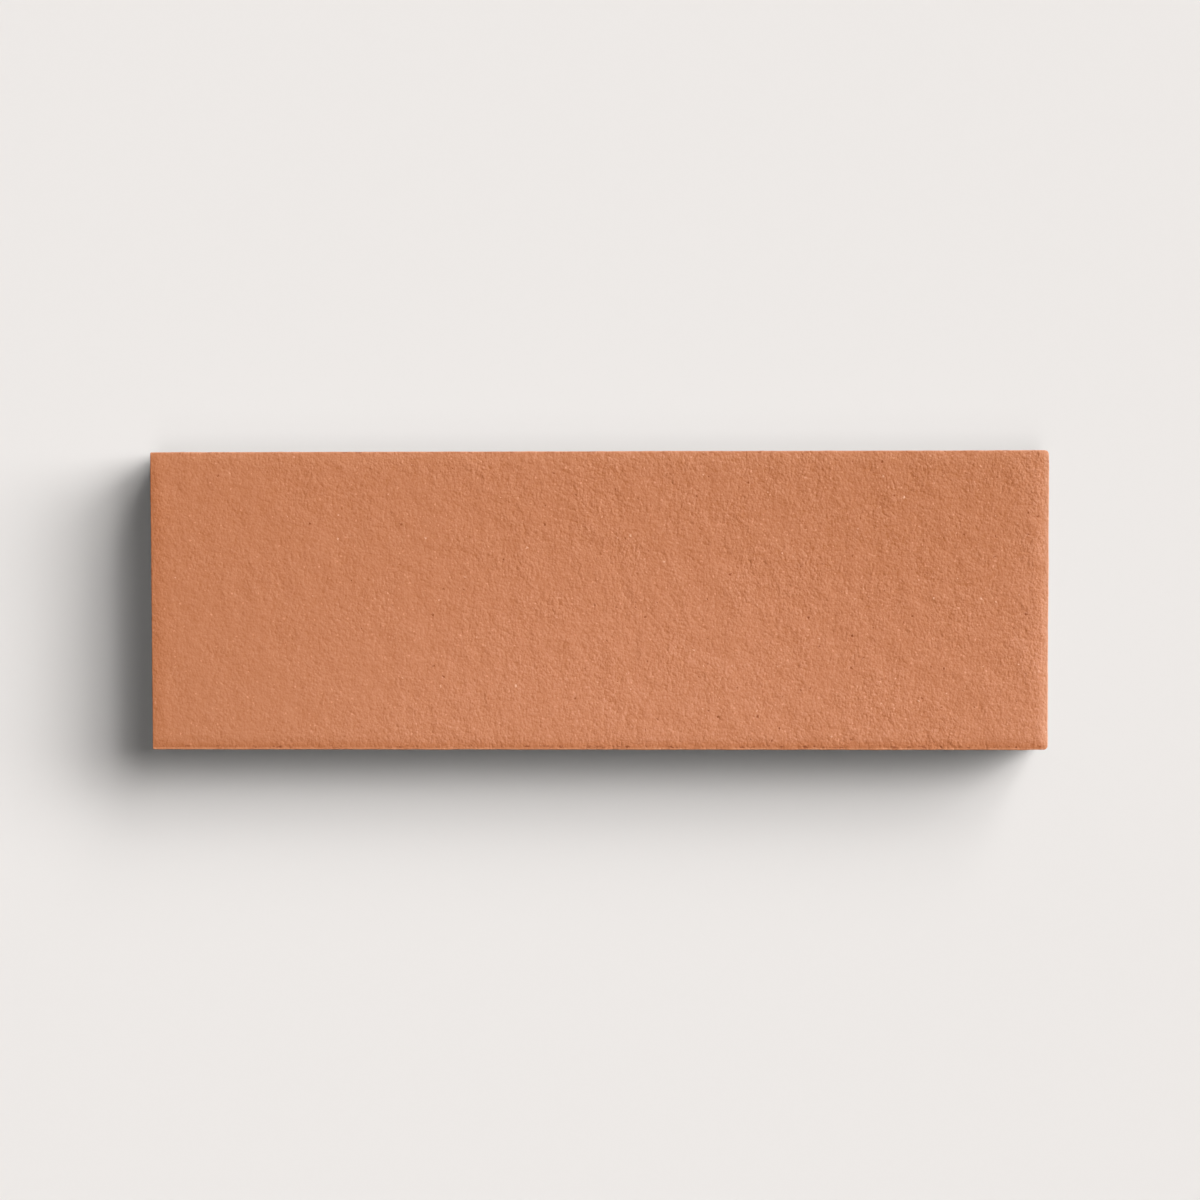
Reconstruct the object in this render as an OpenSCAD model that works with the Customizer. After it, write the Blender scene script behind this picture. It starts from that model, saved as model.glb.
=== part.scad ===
// Unglazed terracotta tile for floors and walls, a long narrow format fired as one piece.
// The top edges roll over softly, each of the four by its own amount, and the bed
// carries dovetail grooves that key into the mortar. Millimetres.
// X runs from the left end to the right end, Y from the near edge to the far edge,
// and Z up from the rib faces that the tile lies on.

/* [Tile] */
// Length, from the left end to the right end
tile_length = 300; // [200:1:450]
// Width, from the near edge to the far edge
tile_width = 100; // [60:1:200]
// Thickness, from the rib faces of the bed to the top face
tile_thickness = 20; // [12:0.5:30]

/* [Right end] */
// Width of the band over which the top rolls down to the right end
right_band = 5.6; // [3:0.1:14]
// Radius of the gentle arc of that band
right_roll = 30; // [20:0.5:80]
// Radius of the tight round that turns the band into the upright end
right_arris = 0.4; // [0.2:0.1:2.5]
// Radius of the two upright corners of the right end, seen from above
right_corner = 1.5; // [0.3:0.1:6]

/* [Left end] */
// Width of the band over which the top rolls down to the left end
left_band = 4.8; // [2:0.1:8]
// Radius of the gentle arc of that band
left_roll = 50; // [10:0.5:80]
// Radius of the tight round that turns the band into the upright end
left_arris = 0.3; // [0.2:0.1:1.8]
// Radius of the two upright corners of the left end, seen from above
left_corner = 0.5; // [0.3:0.1:6]

/* [Near edge] */
// Width of the band over which the top rolls down to the near edge
near_band = 5; // [2:0.1:8]
// Radius of the gentle arc of that band
near_roll = 25; // [9.5:0.5:80]
// Radius of the tight round that turns the band into the upright side
near_arris = 0.3; // [0.2:0.1:1.8]

/* [Far edge] */
// Width of the band over which the top rolls down to the far edge
far_band = 4.7; // [2:0.1:8]
// Radius of the gentle arc of that band
far_roll = 38; // [9.5:0.5:80]
// Radius of the tight round that turns the band into the upright side
far_arris = 0.3; // [0.2:0.1:1.8]

/* [Bed] */
// Size of the bevel round the foot of the ends and sides, at 45 degrees
bed_bevel = 1; // [0.3:0.1:2.5]
// Depth of the dovetail grooves
groove_depth = 2; // [0.5:0.1:3]
// Width of a groove at its mouth, in the plane of the rib faces
groove_mouth = 4.5; // [2:0.1:6]
// Width of a groove at its floor, wider than its mouth so that mortar locks in
groove_floor = 6.5; // [3:0.1:8]
// Distance from one groove to the next
groove_pitch = 11; // [9:0.5:30]
// Least width of solid bed left beside the outermost grooves
bed_margin = 7; // [4:0.5:20]

/* [Hidden] */
terracotta = [0.79, 0.51, 0.37];
// Facets of a full circle
$fn = 180;
// Distance by which a cutting or crossing shape runs past the solid
overrun = 2;
// Height by which a tight round stands proud of the gentle arc that it continues, so that
// the two cross in one clean line
seam = 0.001;
half_length = tile_length / 2;
half_width = tile_width / 2;
// Grooves on each side of the middle rib
groove_room = half_width - bed_margin - groove_floor / 2 - groove_pitch / 2;
groove_pairs = floor(groove_room / groove_pitch) + 1;

// Height at which the upright side ends and the tight round starts. The two arcs of an
// edge are tangent, so their centres lie one radius less the other apart.
function arris_height(band, roll, arris) =
    tile_thickness - roll + sqrt(pow(roll - arris, 2) - pow(band - arris, 2)) + seam;

// Distance from the flat top to the point where the gentle arc meets the tight round
function roll_reach(band, roll, arris) = roll * (band - arris) / (roll - arris);

// Half of a cross-section, from the middle line out to one edge
module half_section(half, band, roll, arris) {
    side_top = arris_height(band, roll, arris);
    flat = half - band;
    polygon([
        [0, 0], [half - bed_bevel, 0], [half, bed_bevel], [half, side_top],
        [flat, side_top], [flat, tile_thickness], [0, tile_thickness]
    ]);
    intersection() {
        translate([flat, tile_thickness - roll]) circle(r = roll);
        translate([flat, side_top]) square([roll_reach(band, roll, arris), tile_thickness]);
    }
    translate([half - arris, side_top]) circle(r = arris);
}

// Section seen along X, with the near edge on the left of the drawing
module section_across() {
    half_section(half_width, far_band, far_roll, far_arris);
    mirror([1, 0]) half_section(half_width, near_band, near_roll, near_arris);
}

// Section seen along Y, with the left end on the left of the drawing
module section_along() {
    half_section(half_length, right_band, right_roll, right_arris);
    mirror([1, 0]) half_section(half_length, left_band, left_roll, left_arris);
}

// Half of the outline seen from above, with the two round corners of one end
module half_plan(corner) {
    square([half_length - corner, half_width]);
    square([half_length, half_width - corner]);
    translate([half_length - corner, half_width - corner]) circle(r = corner);
}

// Outline seen from above
module plan() {
    for (side = [0, 1]) mirror([0, side]) {
        half_plan(right_corner);
        mirror([1, 0]) half_plan(left_corner);
    }
}

// One dovetail groove along the whole length, centred on Y
module bed_groove() {
    mouth = groove_mouth / 2;
    floor_half = groove_floor / 2;
    rotate([90, 0, 90])
        linear_extrude(tile_length + 2 * overrun, center = true)
            polygon([
                [-mouth, -overrun], [mouth, -overrun], [mouth, 0],
                [floor_half, groove_depth], [-floor_half, groove_depth], [-mouth, 0]
            ]);
}

// The whole tile: its outline and its two sections, crossed, less the grooves of the bed
module tile_body() {
    color(terracotta)
        difference() {
            intersection() {
                linear_extrude(tile_thickness) plan();
                rotate([90, 0, 90])
                    linear_extrude(tile_length + 2 * overrun, center = true) section_across();
                rotate([90, 0, 0])
                    linear_extrude(tile_width + 2 * overrun, center = true) section_along();
            }
            for (side = [-1, 1], pair = [0 : 1 : groove_pairs - 1])
                translate([0, side * (pair + 0.5) * groove_pitch, 0]) bed_groove();
        }
}

tile_body();
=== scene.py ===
import math
import bmesh
import bpy
import numpy as np
from mathutils import Matrix, Vector, noise


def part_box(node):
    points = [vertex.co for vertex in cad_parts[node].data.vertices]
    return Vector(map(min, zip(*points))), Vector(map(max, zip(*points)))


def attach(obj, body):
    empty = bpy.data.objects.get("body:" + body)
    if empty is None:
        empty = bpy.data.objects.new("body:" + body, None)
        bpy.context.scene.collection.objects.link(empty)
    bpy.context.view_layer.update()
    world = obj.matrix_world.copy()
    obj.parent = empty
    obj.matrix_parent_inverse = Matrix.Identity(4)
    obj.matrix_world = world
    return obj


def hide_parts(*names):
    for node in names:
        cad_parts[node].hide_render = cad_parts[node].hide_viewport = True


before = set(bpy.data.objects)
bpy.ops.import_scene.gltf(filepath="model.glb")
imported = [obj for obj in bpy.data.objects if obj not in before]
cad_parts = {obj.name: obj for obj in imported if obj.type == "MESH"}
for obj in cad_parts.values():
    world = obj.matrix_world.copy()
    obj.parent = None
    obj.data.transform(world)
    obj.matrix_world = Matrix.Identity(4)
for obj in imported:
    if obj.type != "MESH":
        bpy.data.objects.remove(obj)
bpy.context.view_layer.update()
mm = 0.001
tileLow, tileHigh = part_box("tile_body")
halfLength = (tileHigh.x - tileLow.x) / 2
halfWidth = (tileHigh.y - tileLow.y) / 2
thickness = tileHigh.z - tileLow.z
tileSize = [round(size / mm) for size in (halfLength * 2, halfWidth * 2, thickness)]
print("frame loaded:", *tileSize, "mm")


def addObject(name, data):
    made = bpy.data.objects.new(name, data)
    bpy.context.scene.collection.objects.link(made)
    return made


# camera

cameraSettings = {
    "lens": 85,  # mm
    "sensor": 36,  # mm wide
    "sightFrom": 0.01,  # m
    "sightTo": 50,
    "place": (28.4, 44.4, 964.7),  # mm, a little right of and behind the tile's middle
    "aim": (0.72, 0.3, 20.0),  # mm, on the top face
    "roll": -0.121,  # degrees
}


def makeCamera(settings):
    data = bpy.data.cameras.new("cameraAbove")
    data.lens = settings["lens"]
    data.sensor_width = settings["sensor"]
    data.clip_start = settings["sightFrom"]
    data.clip_end = settings["sightTo"]
    camera = addObject("cameraAbove", data)
    place = Vector(settings["place"]) * mm
    back = (place - Vector(settings["aim"]) * mm).normalized()
    across = Vector((0, 1, 0)).cross(back).normalized()
    up = back.cross(across)
    roll = Matrix.Rotation(math.radians(settings["roll"]), 3, "Z")
    turn = Matrix((across, up, back)).transposed() @ roll
    camera.matrix_world = Matrix.Translation(place) @ turn.to_4x4()
    bpy.context.scene.camera = camera


makeCamera(cameraSettings)
print("camera made")


# tile shape

tileShape = {
    "step": 0.7,  # mm between the grid lines of the top face
    "left": {"band": 4.8, "roll": 50.0, "arris": 0.3},  # mm, as in the solid
    "right": {"band": 5.6, "roll": 30.0, "arris": 0.4},
    "near": {"band": 5.0, "roll": 25.0, "arris": 0.3},
    "far": {"band": 4.7, "roll": 38.0, "arris": 0.3},
    "arrisLines": 6,  # grid lines that go round an arris
    "gapGrowth": 1.45,  # how much wider than the last each gap may be, on the way in
    "cornerLeft": 0.5,  # mm, seen from above
    "cornerRight": 1.5,
    "cornerReach": 6.0,  # mm over which the grid bends round a corner
    "cornerFade": 3,  # higher lets that bend die away closer to the rim
    "cornerBlend": 4.0,  # higher gives a crisper mitre where two rolled bands meet
    "bevel": 1.0,  # mm, round the foot
    "footLeft": 0.25,  # mm, the corners of the foot
    "footRight": 0.6,
    "sideRows": 8,
    "grooveDepth": 2.0,
    "grooveMouth": 4.5,
    "grooveFloor": 6.5,
    "groovePitch": 11.0,
    "groovePairs": 4,
    "cutterReach": 2,  # mm that the groove cutters stand out of the tile
    "bedTop": 2.2,  # mm; what lies lower belongs to the bed
    "sharpAngle": 38,  # degrees; flatter edges are shaded smooth
}


def edgeDrop(distance, edge):
    # how far the top lies below its flat field, at a distance in from one edge
    band, roll, arris = edge["band"], edge["roll"], edge["arris"]
    join = roll * (band - arris) / (roll - arris)
    centre = roll - math.sqrt((roll - arris) ** 2 - (band - arris) ** 2)
    travel = np.clip(band - distance, 0, None)
    gentle = roll - np.sqrt(np.clip(roll ** 2 - np.minimum(travel, join) ** 2, 0, None))
    outward = arris - np.clip(distance, 0, arris)
    tight = centre - np.sqrt(np.clip(arris ** 2 - outward ** 2, 0, None))
    return np.where(travel <= join, gentle, tight)


def edgeLines(edge, shape):
    # distances in from an edge at which grid lines run, close together on the tight round
    band, roll, arris = edge["band"], edge["roll"], edge["arris"]
    slope = math.asin((band - arris) / (roll - arris))
    turns = np.linspace(math.pi / 2, slope, shape["arrisLines"])
    lines = list(arris * (1 - np.sin(turns)))
    while lines[-1] < band:
        gap = min(shape["step"], (lines[-1] - lines[-2]) * shape["gapGrowth"])
        lines.append(lines[-1] + gap)
    return lines


def gridLines(half, lowEdge, highEdge, shape):
    low = [-half + d for d in edgeLines(lowEdge, shape)]
    high = [half - d for d in edgeLines(highEdge, shape)][::-1]
    count = max(2, round((high[0] - low[-1]) / shape["step"]))
    middle = list(np.linspace(low[-1], high[0], count + 1))[1:-1]
    return np.array(low + middle + high)


def roundCorners(x, y, radiusLow, radiusHigh, shape):
    # bends the grid so that its rim follows the rounded outline
    reach = shape["cornerReach"]
    startX, startY = halfLength / mm - reach, halfWidth / mm - reach
    outX, outY = x.copy(), y.copy()
    for signX, radius in ((-1, radiusLow), (1, radiusHigh)):
        for signY in (-1, 1):
            a = (x * signX - startX) / reach
            b = (y * signY - startY) / reach
            inside = (a > 0) & (b > 0)
            a, b = a[inside], b[inside]
            high = np.maximum(a, b)
            slope = np.minimum(a, b) / high
            # where the ray through this point leaves the rounded square
            r = radius / reach
            c = 1 - r
            norm = 1 + slope ** 2
            along = c * (1 + slope)
            root = np.sqrt(np.clip(along ** 2 - norm * (2 * c * c - r * r), 0, None))
            ratio = np.where(slope > c, (along + root) / norm, 1.0)
            scale = 1 + (ratio - 1) * high ** shape["cornerFade"]
            outX[inside] = signX * (startX + a * scale * reach)
            outY[inside] = signY * (startY + b * scale * reach)
    return outX, outY


def topGrid(shape):
    # the top's points and faces, which points are its rim, and the rim before it was rounded
    lx, wy, tall = halfLength / mm, halfWidth / mm, thickness / mm
    xs = gridLines(lx, shape["left"], shape["right"], shape)
    ys = gridLines(wy, shape["near"], shape["far"], shape)
    x, y = np.meshgrid(xs, ys, indexing="ij")
    dropX = np.maximum(edgeDrop(lx + x, shape["left"]), edgeDrop(lx - x, shape["right"]))
    dropY = np.maximum(edgeDrop(wy + y, shape["near"]), edgeDrop(wy - y, shape["far"]))
    blend = shape["cornerBlend"]
    z = tall - (dropX ** blend + dropY ** blend) ** (1 / blend)
    outlineX, outlineY = roundCorners(x, y, shape["cornerLeft"], shape["cornerRight"], shape)
    points = np.stack([outlineX, outlineY, z], -1).reshape(-1, 3)
    index = np.arange(x.size).reshape(x.shape)
    corners = [index[:-1, :-1], index[1:, :-1], index[1:, 1:], index[:-1, 1:]]
    faces = np.stack(corners, -1).reshape(-1, 4)
    rim = np.concatenate([index[:-1, 0], index[-1, :-1], index[:0:-1, -1], index[0, :0:-1]])
    return points, faces, rim, x.reshape(-1)[rim], y.reshape(-1)[rim]


def skirtRows(shape, rimPoints, flatX, flatY):
    # rows of points down the upright sides, then the foot of the bevel
    lx, wy = halfLength / mm, halfWidth / mm
    bevel = shape["bevel"]
    rows = []
    for k in range(1, shape["sideRows"] + 1):
        row = rimPoints.copy()
        row[:, 2] += (bevel - rimPoints[:, 2]) * k / shape["sideRows"]
        rows.append(row)
    foot = rimPoints.copy()
    footX, footY = roundCorners(flatX, flatY, shape["footLeft"], shape["footRight"], shape)
    foot[:, 0] = footX * (lx - bevel) / lx
    foot[:, 1] = footY * (wy - bevel) / wy
    foot[:, 2] = 0
    return rows + [foot]


def buildTileMesh(shape):
    top, topFaces, rim, flatX, flatY = topGrid(shape)
    points, faces = [top], [topFaces]
    above, start = rim, len(top)
    for row in skirtRows(shape, top[rim], flatX, flatY):
        below = np.arange(start, start + len(rim))
        start += len(rim)
        points.append(row)
        skirt = np.stack([above, np.roll(above, -1), np.roll(below, -1), below], -1)
        faces.append(skirt[:, ::-1])
        above = below
    verts = np.concatenate(points) * mm
    quads = np.concatenate(faces).tolist()
    mesh = bpy.data.meshes.new("tileSurface")
    mesh.from_pydata(verts.tolist(), [], quads + [above[::-1].tolist()])
    mesh.update()
    return mesh


def makeCutters(shape):
    # one dovetail bar for each groove, a little longer than the tile
    mouth, floor, deep = shape["grooveMouth"] / 2, shape["grooveFloor"] / 2, shape["grooveDepth"]
    reach = shape["cutterReach"]
    ends = halfLength / mm + reach
    low = [(-mouth, -reach), (mouth, -reach), (mouth, 0)]
    profile = low + [(floor, deep), (-floor, deep), (-mouth, 0)]
    build = bmesh.new()
    for side in (-1, 1):
        for pair in range(shape["groovePairs"]):
            middle = side * (pair + 0.5) * shape["groovePitch"]
            loops = [
                [build.verts.new((x * mm, (middle + y) * mm, z * mm)) for y, z in profile]
                for x in (-ends, ends)
            ]
            build.faces.new(loops[0][::-1])
            build.faces.new(loops[1])
            for k in range(len(profile)):
                n = (k + 1) % len(profile)
                build.faces.new((loops[0][k], loops[0][n], loops[1][n], loops[1][k]))
    bmesh.ops.recalc_face_normals(build, faces=build.faces)
    mesh = bpy.data.meshes.new("grooveCutters")
    build.to_mesh(mesh)
    build.free()
    return addObject("grooveCutters", mesh)


def cutGrooves(tile, shape):
    # dovetail grooves along the bed, open at both ends
    cutter = makeCutters(shape)
    cut = tile.modifiers.new("grooves", "BOOLEAN")
    cut.operation = "DIFFERENCE"
    cut.solver = "EXACT"
    cut.object = cutter
    bpy.context.view_layer.update()
    grooved = tile.evaluated_get(bpy.context.evaluated_depsgraph_get())
    result = bpy.data.meshes.new_from_object(grooved)
    tile.modifiers.clear()
    tile.data = result
    bpy.data.objects.remove(cutter)


# soft unevenness; it is the only relief in the mesh, since the grain is left to the materials

tileRelief = {
    "period": 9.0,  # mm
    "depth": 0.034,  # mm
    "octaves": 3,
    "octaveStep": 2.0,
    "softness": 0.35,  # lower keeps more of the small octaves
    "calmEnd": 0.75,  # share of the relief left at the left end
    "calmUntil": 0.1,  # share of half the length, right of the middle, where it is whole
    "roughEnd": 1.05,  # share of it at the right end
    "flush": 99.8,  # percent of the surface that lies below the solid's
}


def reliefShare(x, relief):
    # the surface is a little smoother towards the left end
    shares = (relief["calmEnd"], 1, relief["roughEnd"])
    return np.interp(x / halfLength, (-1, relief["calmUntil"], 1), shares)


def addRelief(mesh, relief):
    count = len(mesh.vertices)
    places = np.empty(count * 3)
    normals = np.empty(count * 3)
    mesh.vertices.foreach_get("co", places)
    mesh.vertex_normals.foreach_get("vector", normals)
    places = places.reshape(-1, 3)
    normals = normals.reshape(-1, 3)
    scale = 1 / (relief["period"] * mm)
    octaves = relief["softness"], relief["octaveStep"], relief["octaves"]
    waves = np.array([noise.fractal(Vector(place) * scale, *octaves) for place in places])
    waves *= relief["depth"] / waves.std() * mm * reliefShare(places[:, 0], relief)
    waves = np.minimum(waves - np.percentile(waves, relief["flush"]), 0)
    waves[places[:, 2] < tileShape["bedTop"] * mm] = 0
    places += normals * waves[:, None]
    mesh.vertices.foreach_set("co", places.reshape(-1))
    mesh.update()


def makeTile():
    tile = addObject("terracottaTile", buildTileMesh(tileShape))
    cutGrooves(tile, tileShape)
    addRelief(tile.data, tileRelief)
    tile.data.polygons.foreach_set("use_smooth", [True] * len(tile.data.polygons))
    tile.data.set_sharp_from_angle(angle=math.radians(tileShape["sharpAngle"]))
    return tile


tile = makeTile()
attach(tile, "root")
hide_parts("tile_body")
tile.data.calc_loop_triangles()
print("tile made:", len(tile.data.loop_triangles), "triangles")


# helpers for the materials

mixFirst, mixSecond, mixResult = 6, 7, 2  # the colour sockets of a Mix node


def addNode(tree, kind, **values):
    node = tree.nodes.new(kind)
    for name, value in values.items():
        setattr(node, name, value)
    return node


def feed(tree, socket, term):
    # a term is a plain value or another node's output
    if isinstance(term, (int, float, tuple)):
        socket.default_value = term
    else:
        tree.links.new(term, socket)


def calculate(tree, operation, *terms):
    node = addNode(tree, "ShaderNodeMath", operation=operation)
    for socket, term in zip(node.inputs, terms):
        feed(tree, socket, term)
    return node.outputs[0]


def times(tree, first, second):
    return calculate(tree, "MULTIPLY", first, second)


def fade(tree, value, fromLow, fromHigh, toLow=0.0, toHigh=1.0):
    # soft step from one value to another
    node = addNode(tree, "ShaderNodeMapRange", interpolation_type="SMOOTHSTEP")
    names = ("Value", "From Min", "From Max", "To Min", "To Max")
    for name, term in zip(names, (value, fromLow, fromHigh, toLow, toHigh)):
        feed(tree, node.inputs[name], term)
    return node.outputs["Result"]


def blendColors(tree, factor, first, second, **values):
    node = addNode(tree, "ShaderNodeMix", data_type="RGBA", **values)
    feed(tree, node.inputs["Factor"], factor)
    feed(tree, node.inputs[mixFirst], first)
    feed(tree, node.inputs[mixSecond], second)
    return node.outputs[mixResult]


def tintColor(tree, factor, color, tint):
    # multiplies by the tint as far as the factor says; a factor below 0 does the opposite
    return blendColors(tree, factor, color, tint, blend_type="MULTIPLY", clamp_factor=False)


def newGroup(name, inputs, outputs):
    group = bpy.data.node_groups.new(name, "ShaderNodeTree")
    kinds = {
        "number": "NodeSocketFloat",
        "color": "NodeSocketColor",
        "direction": "NodeSocketVector",
    }
    for label, kind, value in inputs:
        socket = group.interface.new_socket(name=label, in_out="INPUT", socket_type=kinds[kind])
        socket.default_value = value
    for label, kind in outputs:
        group.interface.new_socket(name=label, in_out="OUTPUT", socket_type=kinds[kind])
    start = group.nodes.new("NodeGroupInput")
    end = group.nodes.new("NodeGroupOutput")
    return group, start.outputs, end.inputs


def placeGroup(tree, group, values):
    node = addNode(tree, "ShaderNodeGroup", node_tree=group)
    for name, value in values.items():
        node.inputs[name].default_value = value
    return node


def linear(rgb):
    # 0 to 255 as it shows on a screen, to the values that a shader takes
    out = []
    for value in rgb:
        v = value / 255
        out.append(v / 12.92 if v <= 0.04045 else ((v + 0.055) / 1.055) ** 2.4)
    return (*out, 1)


def objectPlace(group, stretch=(1, 1, 1)):
    # position on the tile in metres, squeezed so that a pattern can run one way
    place = addNode(group, "ShaderNodeTexCoord")
    mapping = addNode(group, "ShaderNodeMapping")
    mapping.inputs["Scale"].default_value = stretch
    group.links.new(place.outputs["Object"], mapping.inputs["Vector"])
    return mapping.outputs[0]


def splitAxes(group, place):
    axes = addNode(group, "ShaderNodeSeparateXYZ")
    group.links.new(place, axes.inputs[0])
    return axes.outputs


def noiseAt(group, place, scale, detail, roughness=0.5, distortion=0.0, lacunarity=2.0):
    node = addNode(group, "ShaderNodeTexNoise")
    names = ("Vector", "Scale", "Detail", "Roughness", "Distortion", "Lacunarity")
    for name, term in zip(names, (place, scale, detail, roughness, distortion, lacunarity)):
        feed(group, node.inputs[name], term)
    return node.outputs["Fac"]


def wavesAt(group, *terms):
    # the same noise, above and below 0
    return calculate(group, "SUBTRACT", noiseAt(group, *terms), 0.5)


def patternAt(group, pattern):
    place = objectPlace(group, pattern["stretch"])
    terms = (pattern[name] for name in ("perMetre", "octaves", "roughness"))
    return noiseAt(group, place, *terms)


def cellsAt(group, place, size):
    cells = addNode(group, "ShaderNodeTexVoronoi", feature="F1")
    group.links.new(place, cells.inputs["Vector"])
    group.links.new(calculate(group, "DIVIDE", 1.0, size), cells.inputs["Scale"])
    return cells.outputs


# sandy grain, with painted shade in its hollows

grainShape = {
    "calmUntil": 0.25,  # share of half the length, right of the middle, where the calm is over
    "rougherRight": 0.06,  # how much rougher than the middle the right end is
    "rougherFar": 0.075,  # and the far edge
    "patches": {"stretch": (1, 1, 1), "perMetre": 70.0, "octaves": 1.0, "roughness": 0.5},
    "patchEdges": (0.3, 0.7),
    "patchGrain": (0.86, 1.14),  # share of the grain in the smoothest and roughest patches
    "drawnTurn": -22,  # degrees
    "octaves": 3.5,
    "octaveStep": 1.6,
    "domeTop": 0.28,  # a round grain's middle above the mean
    "smallSize": 0.68,  # the smaller round grains beside the larger
    "smallHeight": 0.6,
    "domeValleyShade": 0.16,  # painted shade: how much paler a round grain is than its valley, which is painted deeper
    "powderFineness": 3.1,
    "powderRoughness": 0.6,
}


def grainDomes(group, place, size, shape):
    # packed round grains with a narrow valley between them
    deep = calculate(group, "POWER", cellsAt(group, place, size)["Distance"], 2.0)
    return calculate(group, "SUBTRACT", shape["domeTop"], deep)


def grainCalm(group, place, calmEnd, shape):
    # how much of the grain is left at each place
    axes = splitAxes(group, place)
    # the left end came out of the die smoother, and the near side a little
    calm = fade(group, axes["X"], -halfLength, halfLength * shape["calmUntil"], calmEnd, 1.0)
    for axis, rougher in (
        ("X", shape["rougherRight"] / halfLength),
        ("Y", shape["rougherFar"] / halfWidth),
    ):
        calm = calculate(group, "MULTIPLY_ADD", axes[axis], rougher, calm)
    # and patches a centimetre or two across are rougher than others
    patches = patternAt(group, shape["patches"])
    patches = fade(group, patches, *shape["patchEdges"], *shape["patchGrain"])
    return times(group, calm, patches)


def makeSandGrain(shape):
    # the fine sandy skin: its height in metres, and how pale or deep each grain of it is, with
    # painted shade that makes its hollows deeper and its tops paler
    group, given, out = newGroup(
        "sandGrain",
        [
            ("Period", "number", 0.004),
            ("Height", "number", 0.0003),
            ("Roughness", "number", 0.75),
            ("Grain Size", "number", 0.0013),
            ("Grain Height", "number", 0.00002),
            ("Powder", "number", 1.0),
            ("Calm End", "number", 0.7),
            ("Drawn Out", "direction", (1, 1, 1)),
        ],
        [("Height", "number"), ("Fines And Hollow Shade", "number")],
    )
    place = objectPlace(group)
    calm = grainCalm(group, place, given["Calm End"], shape)
    # the grains lie drawn out a little, the way the top was wiped
    drawn = addNode(group, "ShaderNodeMapping", vector_type="TEXTURE")
    drawn.inputs["Rotation"].default_value = (0, 0, math.radians(shape["drawnTurn"]))
    group.links.new(place, drawn.inputs["Vector"])
    group.links.new(given["Drawn Out"], drawn.inputs["Scale"])
    perMetre = calculate(group, "DIVIDE", 1.0, given["Period"])
    octaves = shape["octaves"], given["Roughness"], 0.0, shape["octaveStep"]
    sand = wavesAt(group, drawn.outputs[0], perMetre, *octaves)
    domes = grainDomes(group, drawn.outputs[0], given["Grain Size"], shape)
    # the smallest grains lie any way round
    smallSize = times(group, given["Grain Size"], shape["smallSize"])
    small = grainDomes(group, place, smallSize, shape)
    domes = calculate(group, "MULTIPLY_ADD", small, shape["smallHeight"], domes)
    height = times(group, sand, given["Height"])
    height = calculate(group, "MULTIPLY_ADD", domes, given["Grain Height"], height)
    group.links.new(times(group, height, calm), out["Height"])
    # painted shade: the colour follows the height, deeper in the hollows and in the valleys
    # between grains
    finesAndHollowShade = calculate(group, "ADD", sand, times(group, domes, shape["domeValleyShade"]))
    # powder of no height that lies over the grains
    powderScale = times(group, perMetre, shape["powderFineness"])
    powder = wavesAt(group, place, powderScale, 1.0, shape["powderRoughness"])
    finesAndHollowShade = calculate(group, "MULTIPLY_ADD", powder, given["Powder"], finesAndHollowShade)
    group.links.new(times(group, finesAndHollowShade, calm), out["Fines And Hollow Shade"])
    return group


# pits, grit and sparkling grains

speckShape = {
    "wobblePeriods": 0.7,  # to a radius
    "wobble": 2.2,  # radii
    "leastSize": 0.5,  # of the radius, for the smallest spots
    "core": 0.35,  # share of a spot that has its full colour
    "calmUntil": 0.6,  # share of half the length, right of the middle, where all are there
}


def makeSpecks(shape):
    # scattered ragged spots, one at most to a cell: a mask that is 1 in the middle of each
    group, given, out = newGroup(
        "specks",
        [
            ("Spacing", "number", 0.006),
            ("Radius", "number", 0.0006),
            ("Share", "number", 0.3),
            ("Left Share", "number", 0.3),
            ("Offset", "number", 0.0),
        ],
        [("Mask", "number")],
    )
    place = objectPlace(group)
    shift = addNode(group, "ShaderNodeVectorMath", operation="ADD")
    group.links.new(place, shift.inputs[0])
    group.links.new(given["Offset"], shift.inputs[1])
    # a little wobble keeps the spots from being round
    wobbleScale = calculate(group, "DIVIDE", shape["wobblePeriods"], given["Radius"])
    wobble = addNode(group, "ShaderNodeTexNoise")
    wobble.inputs["Detail"].default_value = 1
    group.links.new(place, wobble.inputs["Vector"])
    group.links.new(wobbleScale, wobble.inputs["Scale"])
    ragged = addNode(group, "ShaderNodeVectorMath", operation="MULTIPLY_ADD")
    group.links.new(wobble.outputs["Color"], ragged.inputs[0])
    wobbleSize = times(group, given["Radius"], shape["wobble"])
    group.links.new(wobbleSize, ragged.inputs[1])
    group.links.new(shift.outputs[0], ragged.inputs[2])
    cells = cellsAt(group, ragged.outputs[0], given["Spacing"])
    away = times(group, cells["Distance"], given["Spacing"])
    # each cell's own colour gives its spot a size and says whether it is there
    chance = addNode(group, "ShaderNodeSeparateColor")
    group.links.new(cells["Color"], chance.inputs[0])
    size = calculate(group, "ADD", chance.outputs["Green"], shape["leastSize"])
    size = times(group, given["Radius"], size)
    spot = fade(group, calculate(group, "DIVIDE", away, size), 1.0, shape["core"])
    # fewer of them towards the left end
    reach = halfLength * shape["calmUntil"]
    share = fade(group, splitAxes(group, place)["X"], -halfLength, reach, given["Left Share"], 1.0)
    share = times(group, share, given["Share"])
    chosen = calculate(group, "LESS_THAN", chance.outputs["Red"], share)
    group.links.new(times(group, spot, chosen), out["Mask"])
    return group


# clay colour and painted shade; the spans are shares of half the tile's length or width, from its
# middle

toneAndShadeSpread = {
    "left": (-1.25, 0.0),
    "right": (0.2, 0.7),
    "far": (-0.9, 0.9),
    "highlightRim": (0.014, 0.007),  # m in from the right end
    "mottleOctaves": 3.0,
    "mottleRoughness": 0.6,
}


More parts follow.
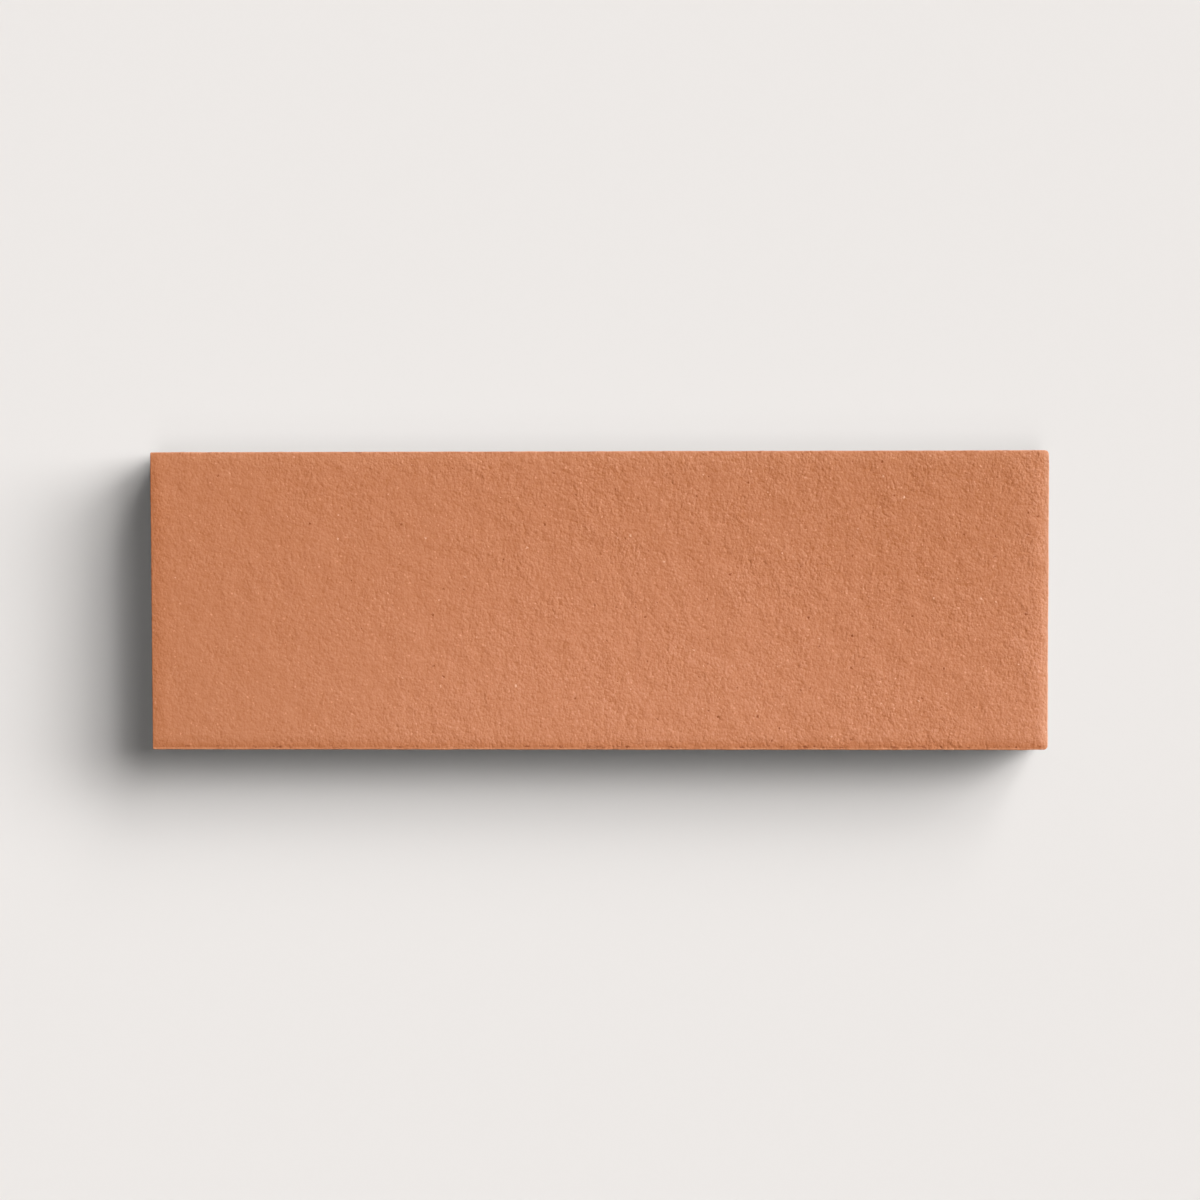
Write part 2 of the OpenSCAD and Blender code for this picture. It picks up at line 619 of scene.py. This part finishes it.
def makeClayToneAndShade(spread):
    # clay colour, lightly mottled and deeper towards the right end, with painted shade that makes
    # it deeper towards the left end and the far edge
    group, given, out = newGroup(
        "clayToneAndShade",
        [
            ("Pale", "color", (0.6, 0.24, 0.12, 1)),
            ("Deep", "color", (0.5, 0.19, 0.09, 1)),
            ("Left", "color", (0.5, 0.19, 0.09, 1)),
            ("Left Depth", "number", 0.6),
            ("Right Depth", "number", 0.2),
            ("Rim Highlight", "number", 0.2),
            ("Far Depth", "number", 0.7),
            ("Mottle", "number", 0.3),
            ("Mottle Size", "number", 0.008),
        ],
        [("Color", "color")],
    )
    place = objectPlace(group)
    axes = splitAxes(group, place)

    def along(name, toLow, toHigh):
        low, high = (share * halfLength for share in spread[name])
        return fade(group, axes["X"], low, high, toLow, toHigh)

    # painted shade towards the left end and the far edge
    left = along("left", given["Left Depth"], 0.0)
    depth = along("right", 0.0, given["Right Depth"])
    farLow, farHigh = (share * halfWidth for share in spread["far"])
    far = fade(group, axes["Y"], farLow, farHigh, 0.0, given["Far Depth"])
    # painted highlight: the last centimetre at the right end, where the top rolls towards the
    # lamps, is paler
    rimLow, rimHigh = (halfLength - gap for gap in spread["highlightRim"])
    rim = fade(group, axes["X"], rimLow, rimHigh, 0.0, given["Rim Highlight"])
    mottleScale = calculate(group, "DIVIDE", 1.0, given["Mottle Size"])
    octaves = spread["mottleOctaves"], spread["mottleRoughness"]
    patches = wavesAt(group, place, mottleScale, *octaves)
    patches = times(group, patches, given["Mottle"])
    depth = calculate(group, "ADD", calculate(group, "ADD", depth, far), patches)
    depth = calculate(group, "SUBTRACT", depth, rim)
    body = blendColors(group, left, given["Pale"], given["Left"])
    shadedClay = blendColors(group, depth, body, given["Deep"], clamp_factor=False)
    group.links.new(shadedClay, out["Color"])
    return group


# wear, painted highlights and painted shade along the rim; pairs of distances in from an edge, in
# metres, say where a mark starts and where it is full

rimShape = {
    "top": (0.0012, 0.0009),  # below the top face
    "lineCore": 0.5,  # share of the pale line's width that is full
    "farLine": (0.0009, 0.0003),
    "farLineShare": 0.4,
    "highlightRubs": {"stretch": (1, 3, 3), "perMetre": 140.0, "octaves": 3.0, "roughness": 0.7},
    "highlightRubEdges": (0.3, 0.62),
    "leastHighlightRub": 0.15,
    # flecks are drawn out a little along the edge
    "flecks": {"stretch": (0.5, 1, 1), "perMetre": 1000.0, "octaves": 2.0, "roughness": 0.65},
    "fleckRarity": 0.8,
    "fleckChoice": 0.4,  # how much the share of flecks takes off the rarity
    "fleckSoftness": 0.12,
    "fleckCore": 0.6,  # share of the flecks' reach in which all are there
    "pastNearLine": (0.0004, 0.0009),
    "farFlecks": (0.0009, 0.0005),
    "farFleckShare": 0.5,
    "nearBand": (0.0036, 0.0012),
    "pastArris": (0.0003, 0.0007),
    "leftBand": (0.01, 0.0),
    "leftBandShare": 0.5,
    "endLine": (0.0026, 0.0003),
}


# a pale line on the long arrises, patchy like rubbed wear: partly wear, partly a painted highlight
# on the arris
def rubbedHighlightLine(group, nearGap, farGap, width, shape):
    near = fade(group, nearGap, width, times(group, width, shape["lineCore"]))
    far = times(group, fade(group, farGap, *shape["farLine"]), shape["farLineShare"])
    rubbedHighlight = patternAt(group, shape["highlightRubs"])
    rubbedHighlight = fade(group, rubbedHighlight, *shape["highlightRubEdges"], shape["leastHighlightRub"], 1.0)
    return times(group, calculate(group, "ADD", near, far), rubbedHighlight)


def edgeFlecks(group, nearGap, farGap, reach, share, shape):
    choice = times(group, share, shape["fleckChoice"])
    least = calculate(group, "SUBTRACT", shape["fleckRarity"], choice)
    most = calculate(group, "ADD", least, shape["fleckSoftness"])
    flecks = fade(group, patternAt(group, shape["flecks"]), least, most)
    near = fade(group, nearGap, reach, times(group, reach, shape["fleckCore"]))
    near = times(group, near, fade(group, nearGap, *shape["pastNearLine"]))
    far = times(group, fade(group, farGap, *shape["farFlecks"]), shape["farFleckShare"])
    return times(group, flecks, calculate(group, "ADD", near, far))


# painted shade: a deeper band inside the near edge and the left end, where the top rolls away from
# the lamps
def paintedShadeBand(group, nearGap, leftGap, shape):
    near = fade(group, nearGap, *shape["nearBand"])
    near = times(group, near, fade(group, nearGap, *shape["pastArris"]))
    left = fade(group, leftGap, *shape["leftBand"], 0.0, shape["leftBandShare"])
    return calculate(group, "MAXIMUM", near, left)


def makeRimWearAndPaintedLight(shape):
    # a thin pale line on the long arrises, partly rubbed wear and partly painted highlight, dark
    # flecks just inside it, a band of painted shade along the near edge and the left end, and a
    # painted highlight line on the right end's arris
    group, given, out = newGroup(
        "rimWearAndPaintedLight",
        [
            ("Line Width", "number", 0.0009),
            ("Fleck Reach", "number", 0.0024),
            ("Fleck Share", "number", 0.4),
        ],
        [("Line", "number"), ("Flecks", "number"), ("Shade Band", "number"), ("End Line", "number")],
    )
    axes = splitAxes(group, objectPlace(group))
    nearGap = calculate(group, "ADD", axes["Y"], halfWidth)
    farGap = calculate(group, "SUBTRACT", halfWidth, axes["Y"])
    leftGap = calculate(group, "ADD", axes["X"], halfLength)
    rightGap = calculate(group, "SUBTRACT", halfLength, axes["X"])
    reach, share = given["Fleck Reach"], given["Fleck Share"]
    marks = {
        "Line": rubbedHighlightLine(group, nearGap, farGap, given["Line Width"], shape),
        "Flecks": edgeFlecks(group, nearGap, farGap, reach, share, shape),
        "Shade Band": paintedShadeBand(group, nearGap, leftGap, shape),
        "End Line": fade(group, rightGap, *shape["endLine"]),
    }
    onTop = fade(group, axes["Z"], *(thickness - gap for gap in shape["top"]))
    for name, mark in marks.items():
        group.links.new(times(group, mark, onTop), out[name])
    return group


# furrows, with painted shade in them

dragShape = {
    "octaves": 2.0,
    "roughness": 0.6,
    "distortion": 0.1,
    "furrowShade": (0.0, -0.2),  # the painted shade starts where the lines fall below 0
}


def makeDragLines(shape):
    # fine furrows left where clay slid along the die or the cutting wire, and a mask of painted
    # shade in them; the position's stretch sets which way they run
    group, given, out = newGroup(
        "dragLines",
        [
            ("Position", "direction", (0, 0, 0)),
            ("Period", "number", 0.0012),
            ("Height", "number", 0.0001),
        ],
        [("Height", "number"), ("Furrow Shade", "number")],
    )
    perMetre = calculate(group, "DIVIDE", 1.0, given["Period"])
    octaves = shape["octaves"], shape["roughness"], shape["distortion"]
    lines = wavesAt(group, given["Position"], perMetre, *octaves)
    group.links.new(times(group, lines, given["Height"]), out["Height"])
    group.links.new(fade(group, lines, *shape["furrowShade"]), out["Furrow Shade"])
    return group


# colours and finishes

clayColors = {
    "pale": (205.5, 132.4, 93.2),  # 0 to 255 as they show on a screen
    # deep and left also carry painted shade towards the left end and the far edge
    "deep": (196, 122.9, 81.3),
    "left": (195.1, 124.1, 83.6),
    "pit": (155, 72, 28),
    "grit": (238, 183, 149),
    "sparkle": (242, 175, 138),
    # the pale line on the long arrises: partly rubbed wear, partly painted highlight
    "rubbedHighlight": (226, 154, 114),
    "fleck": (162, 88, 50),
    # painted highlight on the right end's arris
    "endArrisHighlight": (212, 165, 135),
    "furrowShade": (183, 109, 70),
    "dust": (214, 152, 118),
}

clayTints = {
    "finesAndHollowShade": (0.9, 0.8, 0.62, 1),  # what the darkest fines and the painted shade in the grain's hollows do to the colour round them
    "slopeLightAndShade": (1.0, 0.718, 0.34, 1),  # painted light and shade: what is done to a face turned right away from the lamps; a face turned towards them gets the opposite
    "rimShade": (1.0, 0.95, 0.86, 1),  # painted shade: a deeper band inside the near edge and the left end, where the top rolls away from the lamps
    "cast": (0.0, 0.0, 0.0, 1),  # what the tile throws back onto the floor round it
}

# lengths are in metres
faceFinish = {
    "grainPeriod": 0.0038,
    "grainHeight": 0.000325,
    "grainDrawnOut": (0.87, 1.17, 1),
    "grainRoughness": 0.88,
    "pebbleSize": 0.00102,
    "pebbleHeight": 0.000083,
    "powder": 1.55,
    "calmEnd": 0.73,  # share of the grain left at the left end
    "hollowShadeTint": 1.2,
    "shadeSide": (-0.81, -0.58, 0),  # the side away from the lamps; grains turned this way are painted deeper, a painted shade
    "paintedLightSlope": 0.3,  # slope at which the painted light and shade are full
    # painted shade towards the left end and the far edge, a painted highlight at the right end's
    # rim
    "leftDepth": 1.0,
    "rightDepth": 0.27,
    "rimHighlight": 0.3,
    "farDepth": 0.75,
    "mottle": 0.8,
    "mottleSize": 0.009,
    "pits": {
        "Spacing": 0.0034,
        "Radius": 0.00042,
        "Share": 0.44,
        "Left Share": 0.06,
        "Offset": 0.3,
    },
    "pitDarkness": 0.8,
    "pitDepth": 0.00007,
    "grit": {
        "Spacing": 0.0042,
        "Radius": 0.0004,
        "Share": 0.5,
        "Left Share": 0.08,
        "Offset": 0.7,
    },
    "gritPaleness": 0.66,
    "gritHeight": 0.00005,
    "sparkle": {
        "Spacing": 0.00175,
        "Radius": 0.00036,
        "Share": 0.95,
        "Left Share": 0.42,
        "Offset": 0.1,
    },
    "sparklePaleness": 0.39,
    "rimLine": 0.0010,
    "fleckReach": 0.0019,
    "fleckShare": 0.62,
    "endArrisHighlight": 0.14,
    "roughness": 0.88,
    "specular": 0.5,
}

sideFinish = {
    **faceFinish,
    "grainHeight": 0.00028,
    "pebbleHeight": 0.00005,
    "calmEnd": 1.0,
    "hollowShadeTint": 1.9,
    "mottle": 2.4,
    "mottleSize": 0.012,
    "pits": {
        "Spacing": 0.0038,
        "Radius": 0.00045,
        "Share": 0.45,
        "Left Share": 0.45,
        "Offset": 0.3,
    },
    "grit": {**faceFinish["grit"], "Left Share": 0.5},
    "sparkle": {
        "Spacing": 0.0023,
        "Radius": 0.00033,
        "Share": 0.3,
        "Left Share": 0.3,
        "Offset": 0.1,
    },
    "dragStretch": (0.02, 1, 1),  # along the sides, as the clay left the die
    "dragPeriod": 0.0012,
    "dragHeight": 0.0003,
    "furrowShadeTint": 0.6,
    "dust": 0.0,
}

endFinish = {
    **sideFinish,
    "rightDepth": 1.7,
    "grainHeight": 0.00045,
    "pebbleHeight": 0.00009,
    "dragStretch": (1, 1, 0.06),  # down the ends, as the wire went through
    "dragPeriod": 0.0017,
    "dragHeight": 0.0004,
    "furrowShadeTint": 0.55,
}

bedFinish = {
    **sideFinish,
    "grainHeight": 0.0004,
    "pebbleHeight": 0.00008,
    "dragPeriod": 0.0017,
    "dragHeight": 0.00035,
    "furrowShadeTint": 0.5,
    "dust": 0.55,
    "dustClouds": {"stretch": (0.4, 1, 1), "perMetre": 90.0, "octaves": 4.0, "roughness": 0.65},
    "dustEdges": (0.35, 0.75),
}


# materials

def startMaterial(name):
    material = bpy.data.materials.new(name)
    material.use_nodes = True
    tree = material.node_tree
    tree.nodes.clear()
    output = addNode(tree, "ShaderNodeOutputMaterial")
    shader = addNode(tree, "ShaderNodeBsdfPrincipled")
    return material, tree, shader, output


def paintedSlopeLight(tree, color, normal, finish):
    # painted light and shade: grains and edges turned away from the lamps are painted deeper,
    # those turned towards them paler
    turned = addNode(
        tree,
        "ShaderNodeVectorTransform",
        vector_type="NORMAL",
        convert_from="WORLD",
        convert_to="OBJECT",
    )
    tree.links.new(normal, turned.inputs[0])
    facing = addNode(tree, "ShaderNodeVectorMath", operation="DOT_PRODUCT")
    tree.links.new(turned.outputs[0], facing.inputs[0])
    facing.inputs[1].default_value = finish["shadeSide"]
    limit = finish["paintedLightSlope"]
    # half the tint either way, so that level clay keeps its colour
    slopeLightAndShade = fade(tree, facing.outputs["Value"], -limit, limit, -0.5, 0.5)
    return tintColor(tree, slopeLightAndShade, color, clayTints["slopeLightAndShade"])


def finishClay(tree, clay, output, color, height, finish):
    bump = addNode(tree, "ShaderNodeBump")
    bump.inputs["Distance"].default_value = 1  # heights are in metres as they are
    tree.links.new(height, bump.inputs["Height"])
    tree.links.new(bump.outputs["Normal"], clay.inputs["Normal"])
    color = paintedSlopeLight(tree, color, bump.outputs["Normal"], finish)
    # the floor picks up no colour from the tile
    path = addNode(tree, "ShaderNodeLightPath")
    seen = blendColors(tree, path.outputs["Is Diffuse Ray"], color, clayTints["cast"])
    tree.links.new(seen, clay.inputs["Base Color"])
    clay.inputs["Roughness"].default_value = finish["roughness"]
    clay.inputs["Specular IOR Level"].default_value = finish["specular"]
    tree.links.new(clay.outputs["BSDF"], output.inputs["Surface"])


def clayBase(tree, finish):
    # colour and relief that all the faces of the tile share
    toneWithShade = placeGroup(tree, clayToneAndShade, {
        "Pale": linear(clayColors["pale"]),
        "Deep": linear(clayColors["deep"]),
        "Left": linear(clayColors["left"]),
        "Left Depth": finish["leftDepth"],
        "Right Depth": finish["rightDepth"],
        "Rim Highlight": finish["rimHighlight"],
        "Far Depth": finish["farDepth"],
        "Mottle": finish["mottle"],
        "Mottle Size": finish["mottleSize"],
    })
    grain = placeGroup(tree, sandGrain, {
        "Period": finish["grainPeriod"],
        "Height": finish["grainHeight"],
        "Roughness": finish["grainRoughness"],
        "Grain Size": finish["pebbleSize"],
        "Grain Height": finish["pebbleHeight"],
        "Powder": finish["powder"],
        "Calm End": finish["calmEnd"],
        "Drawn Out": finish["grainDrawnOut"],
    })
    pits, grit, sparkle = (
        placeGroup(tree, specks, finish[kind]).outputs[0] for kind in ("pits", "grit", "sparkle")
    )
    # painted shade in the grain's hollows, with fines of random tone
    finesAndHollowShade = times(tree, grain.outputs["Fines And Hollow Shade"], -finish["hollowShadeTint"])
    color = tintColor(tree, finesAndHollowShade, toneWithShade.outputs[0], clayTints["finesAndHollowShade"])
    for mask, strength, tone in (
        (sparkle, "sparklePaleness", "sparkle"),
        (grit, "gritPaleness", "grit"),
        (pits, "pitDarkness", "pit"),
    ):
        amount = times(tree, mask, finish[strength])
        color = blendColors(tree, amount, color, linear(clayColors[tone]))
    height = grain.outputs["Height"]
    for mask, rise in ((pits, -finish["pitDepth"]), (grit, finish["gritHeight"])):
        height = calculate(tree, "MULTIPLY_ADD", mask, rise, height)
    return color, height


def makeFaceClay(finish):
    material, tree, clay, output = startMaterial("wearFace")
    color, height = clayBase(tree, finish)
    rim = placeGroup(tree, rimWearAndPaintedLight, {
        "Line Width": finish["rimLine"],
        "Fleck Reach": finish["fleckReach"],
        "Fleck Share": finish["fleckShare"],
    }).outputs
    # painted shade band along the near edge and the left end
    color = tintColor(tree, rim["Shade Band"], color, clayTints["rimShade"])
    # painted highlight on the right end's arris
    endArrisHighlight = times(tree, rim["End Line"], finish["endArrisHighlight"])
    # the rubbed line is partly wear and partly a painted highlight
    for mask, tone in ((rim["Line"], "rubbedHighlight"), (endArrisHighlight, "endArrisHighlight"), (rim["Flecks"], "fleck")):
        color = blendColors(tree, mask, color, linear(clayColors[tone]))
    finishClay(tree, clay, output, color, height, finish)
    return material


def settledDust(tree, finish):
    settled = fade(tree, patternAt(tree, finish["dustClouds"]), *finish["dustEdges"])
    return times(tree, settled, finish["dust"])


def makeDraggedClay(name, finish):
    material, tree, clay, output = startMaterial(name)
    color, height = clayBase(tree, finish)
    lines = {"Period": finish["dragPeriod"], "Height": finish["dragHeight"]}
    drag = placeGroup(tree, dragLines, lines)
    tree.links.new(objectPlace(tree, finish["dragStretch"]), drag.inputs["Position"])
    # painted shade in the furrows
    furrowShade = times(tree, drag.outputs["Furrow Shade"], finish["furrowShadeTint"])
    color = blendColors(tree, furrowShade, color, linear(clayColors["furrowShade"]))
    if finish["dust"]:
        color = blendColors(tree, settledDust(tree, finish), color, linear(clayColors["dust"]))
    height = calculate(tree, "ADD", height, drag.outputs["Height"])
    finishClay(tree, clay, output, color, height, finish)
    return material


faceLimits = {
    "upright": 0.35,  # a steeper face's normal points up or down less than this
    "skin": 0.3,  # mm in from the outline within which a face is a side's or an end's
    "arris": 0.9,  # mm below the top down to which the arris has the top's material
}


def paintFaces(tile, limits):
    # which material each face takes, from the way it faces and where it lies
    sides, ends, bed = 1, 2, 3  # places in the tile's list; 0 is the wearing face
    mesh = tile.data
    count = len(mesh.polygons)
    normals = np.empty(count * 3)
    centers = np.empty(count * 3)
    mesh.polygons.foreach_get("normal", normals)
    mesh.polygons.foreach_get("center", centers)
    facing = abs(normals.reshape(-1, 3))
    x, y, z = centers.reshape(-1, 3).T
    skin = limits["skin"] * mm
    outside = (abs(x) > halfLength - skin) | (abs(y) > halfWidth - skin)
    side = (facing[:, 2] < limits["upright"]) & outside & (z < thickness - limits["arris"] * mm)
    kinds = np.zeros(count, dtype=int)
    kinds[z < tileShape["bedTop"] * mm] = bed
    kinds[side & (facing[:, 1] >= facing[:, 0])] = sides
    kinds[side & (facing[:, 1] < facing[:, 0])] = ends
    mesh.polygons.foreach_set("material_index", kinds.tolist())


sandGrain = makeSandGrain(grainShape)
specks = makeSpecks(speckShape)
clayToneAndShade = makeClayToneAndShade(toneAndShadeSpread)
rimWearAndPaintedLight = makeRimWearAndPaintedLight(rimShape)
dragLines = makeDragLines(dragShape)
tile.data.materials.clear()
for clayMaterial in (
    makeFaceClay(faceFinish),
    makeDraggedClay("dieSides", sideFinish),
    makeDraggedClay("wireCutEnds", endFinish),
    makeDraggedClay("keyedBed", bedFinish),
):
    tile.data.materials.append(clayMaterial)
paintFaces(tile, faceLimits)
print("materials made")


# floor and light

studio = {
    "floorTone": (238, 234, 231),  # as it shows on a screen
    "floorSize": 6.0,  # m
    "windowRim": 0.4,  # mm of floor under the foot, inside its bevel
    "tongue": 0.007,  # m
    "glowAbove": 0.008,
    "glowBelow": 0.9,  # reaches only the bed, through the window in the floor
    "glowEdge": -0.05,  # how far below level the glow from below is full
    "lamps": {
        # azimuth from +X towards +Y, elevation and width of the source in degrees, and share
        # of the light on the floor
        "lowRight": (12.9, 18.9, 22.2, 0.1667),
        "low": (32.6, 23.8, 21.9, 0.2214),
        "lowFar": (58.0, 23.3, 21.5, 0.1357),
        "highRight": (18.6, 42.2, 26.2, 0.1628),
        "highFar": (46.2, 46.2, 24.4, 0.1645),
        "overhead": (289.0, 76.9, 18.4, 0.1015),
        "nearRight": (274.8, 57.9, 13.1, 0.025),
        "backFar": (130.1, 54.7, 35.2, 0.0103),
    },
}


def mixShaders(tree, factor, first, second, output):
    mix = addNode(tree, "ShaderNodeMixShader")
    for socket, term in zip(mix.inputs, (factor, first.outputs[0], second.outputs[0])):
        tree.links.new(term, socket)
    tree.links.new(mix.outputs[0], output.inputs["Surface"])


def makePaper(name, settings):
    # clear when it is seen from below
    material, tree, paper, output = startMaterial(name)
    paper.inputs["Base Color"].default_value = linear(settings["floorTone"])
    paper.inputs["Roughness"].default_value = 1
    paper.inputs["Specular IOR Level"].default_value = 0
    clear = addNode(tree, "ShaderNodeBsdfTransparent")
    side = addNode(tree, "ShaderNodeNewGeometry")
    mixShaders(tree, side.outputs["Backfacing"], paper, clear, output)
    return material


def makeFloor(settings):
    half = settings["floorSize"] / 2
    # a window under the tile lets the bed be looked at from below
    rim = (tileShape["bevel"] + settings["windowRim"]) * mm
    windowX, windowY = halfLength - rim, halfWidth - rim
    turns = ((-1, -1), (1, -1), (1, 1), (-1, 1))
    rings = ((half, half), (windowX, windowY))
    corners = [(x * signX, y * signY, 0) for x, y in rings for signX, signY in turns]
    n = len(turns)
    faces = [(k, (k + 1) % n, n + (k + 1) % n, n + k) for k in range(n)]
    # tongues of floor keep the ends of the grooves dark
    mouth = tileShape["grooveMouth"] / 2 * mm
    for signX in (-1, 1):
        inner, outer = sorted((signX * windowX, signX * (windowX - settings["tongue"])))
        for k in range(2 * tileShape["groovePairs"]):
            middle = (k + 0.5 - tileShape["groovePairs"]) * tileShape["groovePitch"] * mm
            start = len(corners)
            for x, y in ((inner, -mouth), (outer, -mouth), (outer, mouth), (inner, mouth)):
                corners.append((x, middle + y, 0))
            faces.append(tuple(range(start, start + 4)))
    mesh = bpy.data.meshes.new("floor")
    mesh.from_pydata(corners, [], faces)
    floor = addObject("floor", mesh)
    mesh.materials.append(makePaper("paleFloor", settings))


def makeWorld(settings):
    world = bpy.data.worlds.new("studio")
    world.use_nodes = True
    tree = world.node_tree
    tree.nodes.clear()
    output = addNode(tree, "ShaderNodeOutputWorld")
    seen = addNode(tree, "ShaderNodeBackground")
    seen.inputs["Color"].default_value = linear(settings["floorTone"])
    glow = addNode(tree, "ShaderNodeBackground")
    glow.inputs["Color"].default_value = (1, 1, 1, 1)
    up = splitAxes(tree, addNode(tree, "ShaderNodeTexCoord").outputs["Generated"])["Z"]
    levels = settings["glowBelow"], settings["glowAbove"]
    tree.links.new(fade(tree, up, settings["glowEdge"], 0.0, *levels), glow.inputs["Strength"])
    path = addNode(tree, "ShaderNodeLightPath")
    mixShaders(tree, path.outputs["Is Camera Ray"], glow, seen, output)
    bpy.context.scene.world = world


def makeLamp(name, azimuth, elevation, width, share):
    data = bpy.data.lights.new(name, "SUN")
    data.angle = math.radians(width)
    data.energy = math.pi * share / math.sin(math.radians(elevation))
    lamp = addObject(name, data)
    a, e = math.radians(azimuth), math.radians(elevation)
    towards = Vector((math.cos(a) * math.cos(e), math.sin(a) * math.cos(e), math.sin(e)))
    lamp.rotation_mode = "QUATERNION"
    lamp.rotation_quaternion = towards.to_track_quat("Z", "Y")


makeFloor(studio)
makeWorld(studio)
for lampName, values in studio["lamps"].items():
    makeLamp(lampName, *values)
bpy.context.scene.view_settings.view_transform = "Standard"
print("floor and light made")
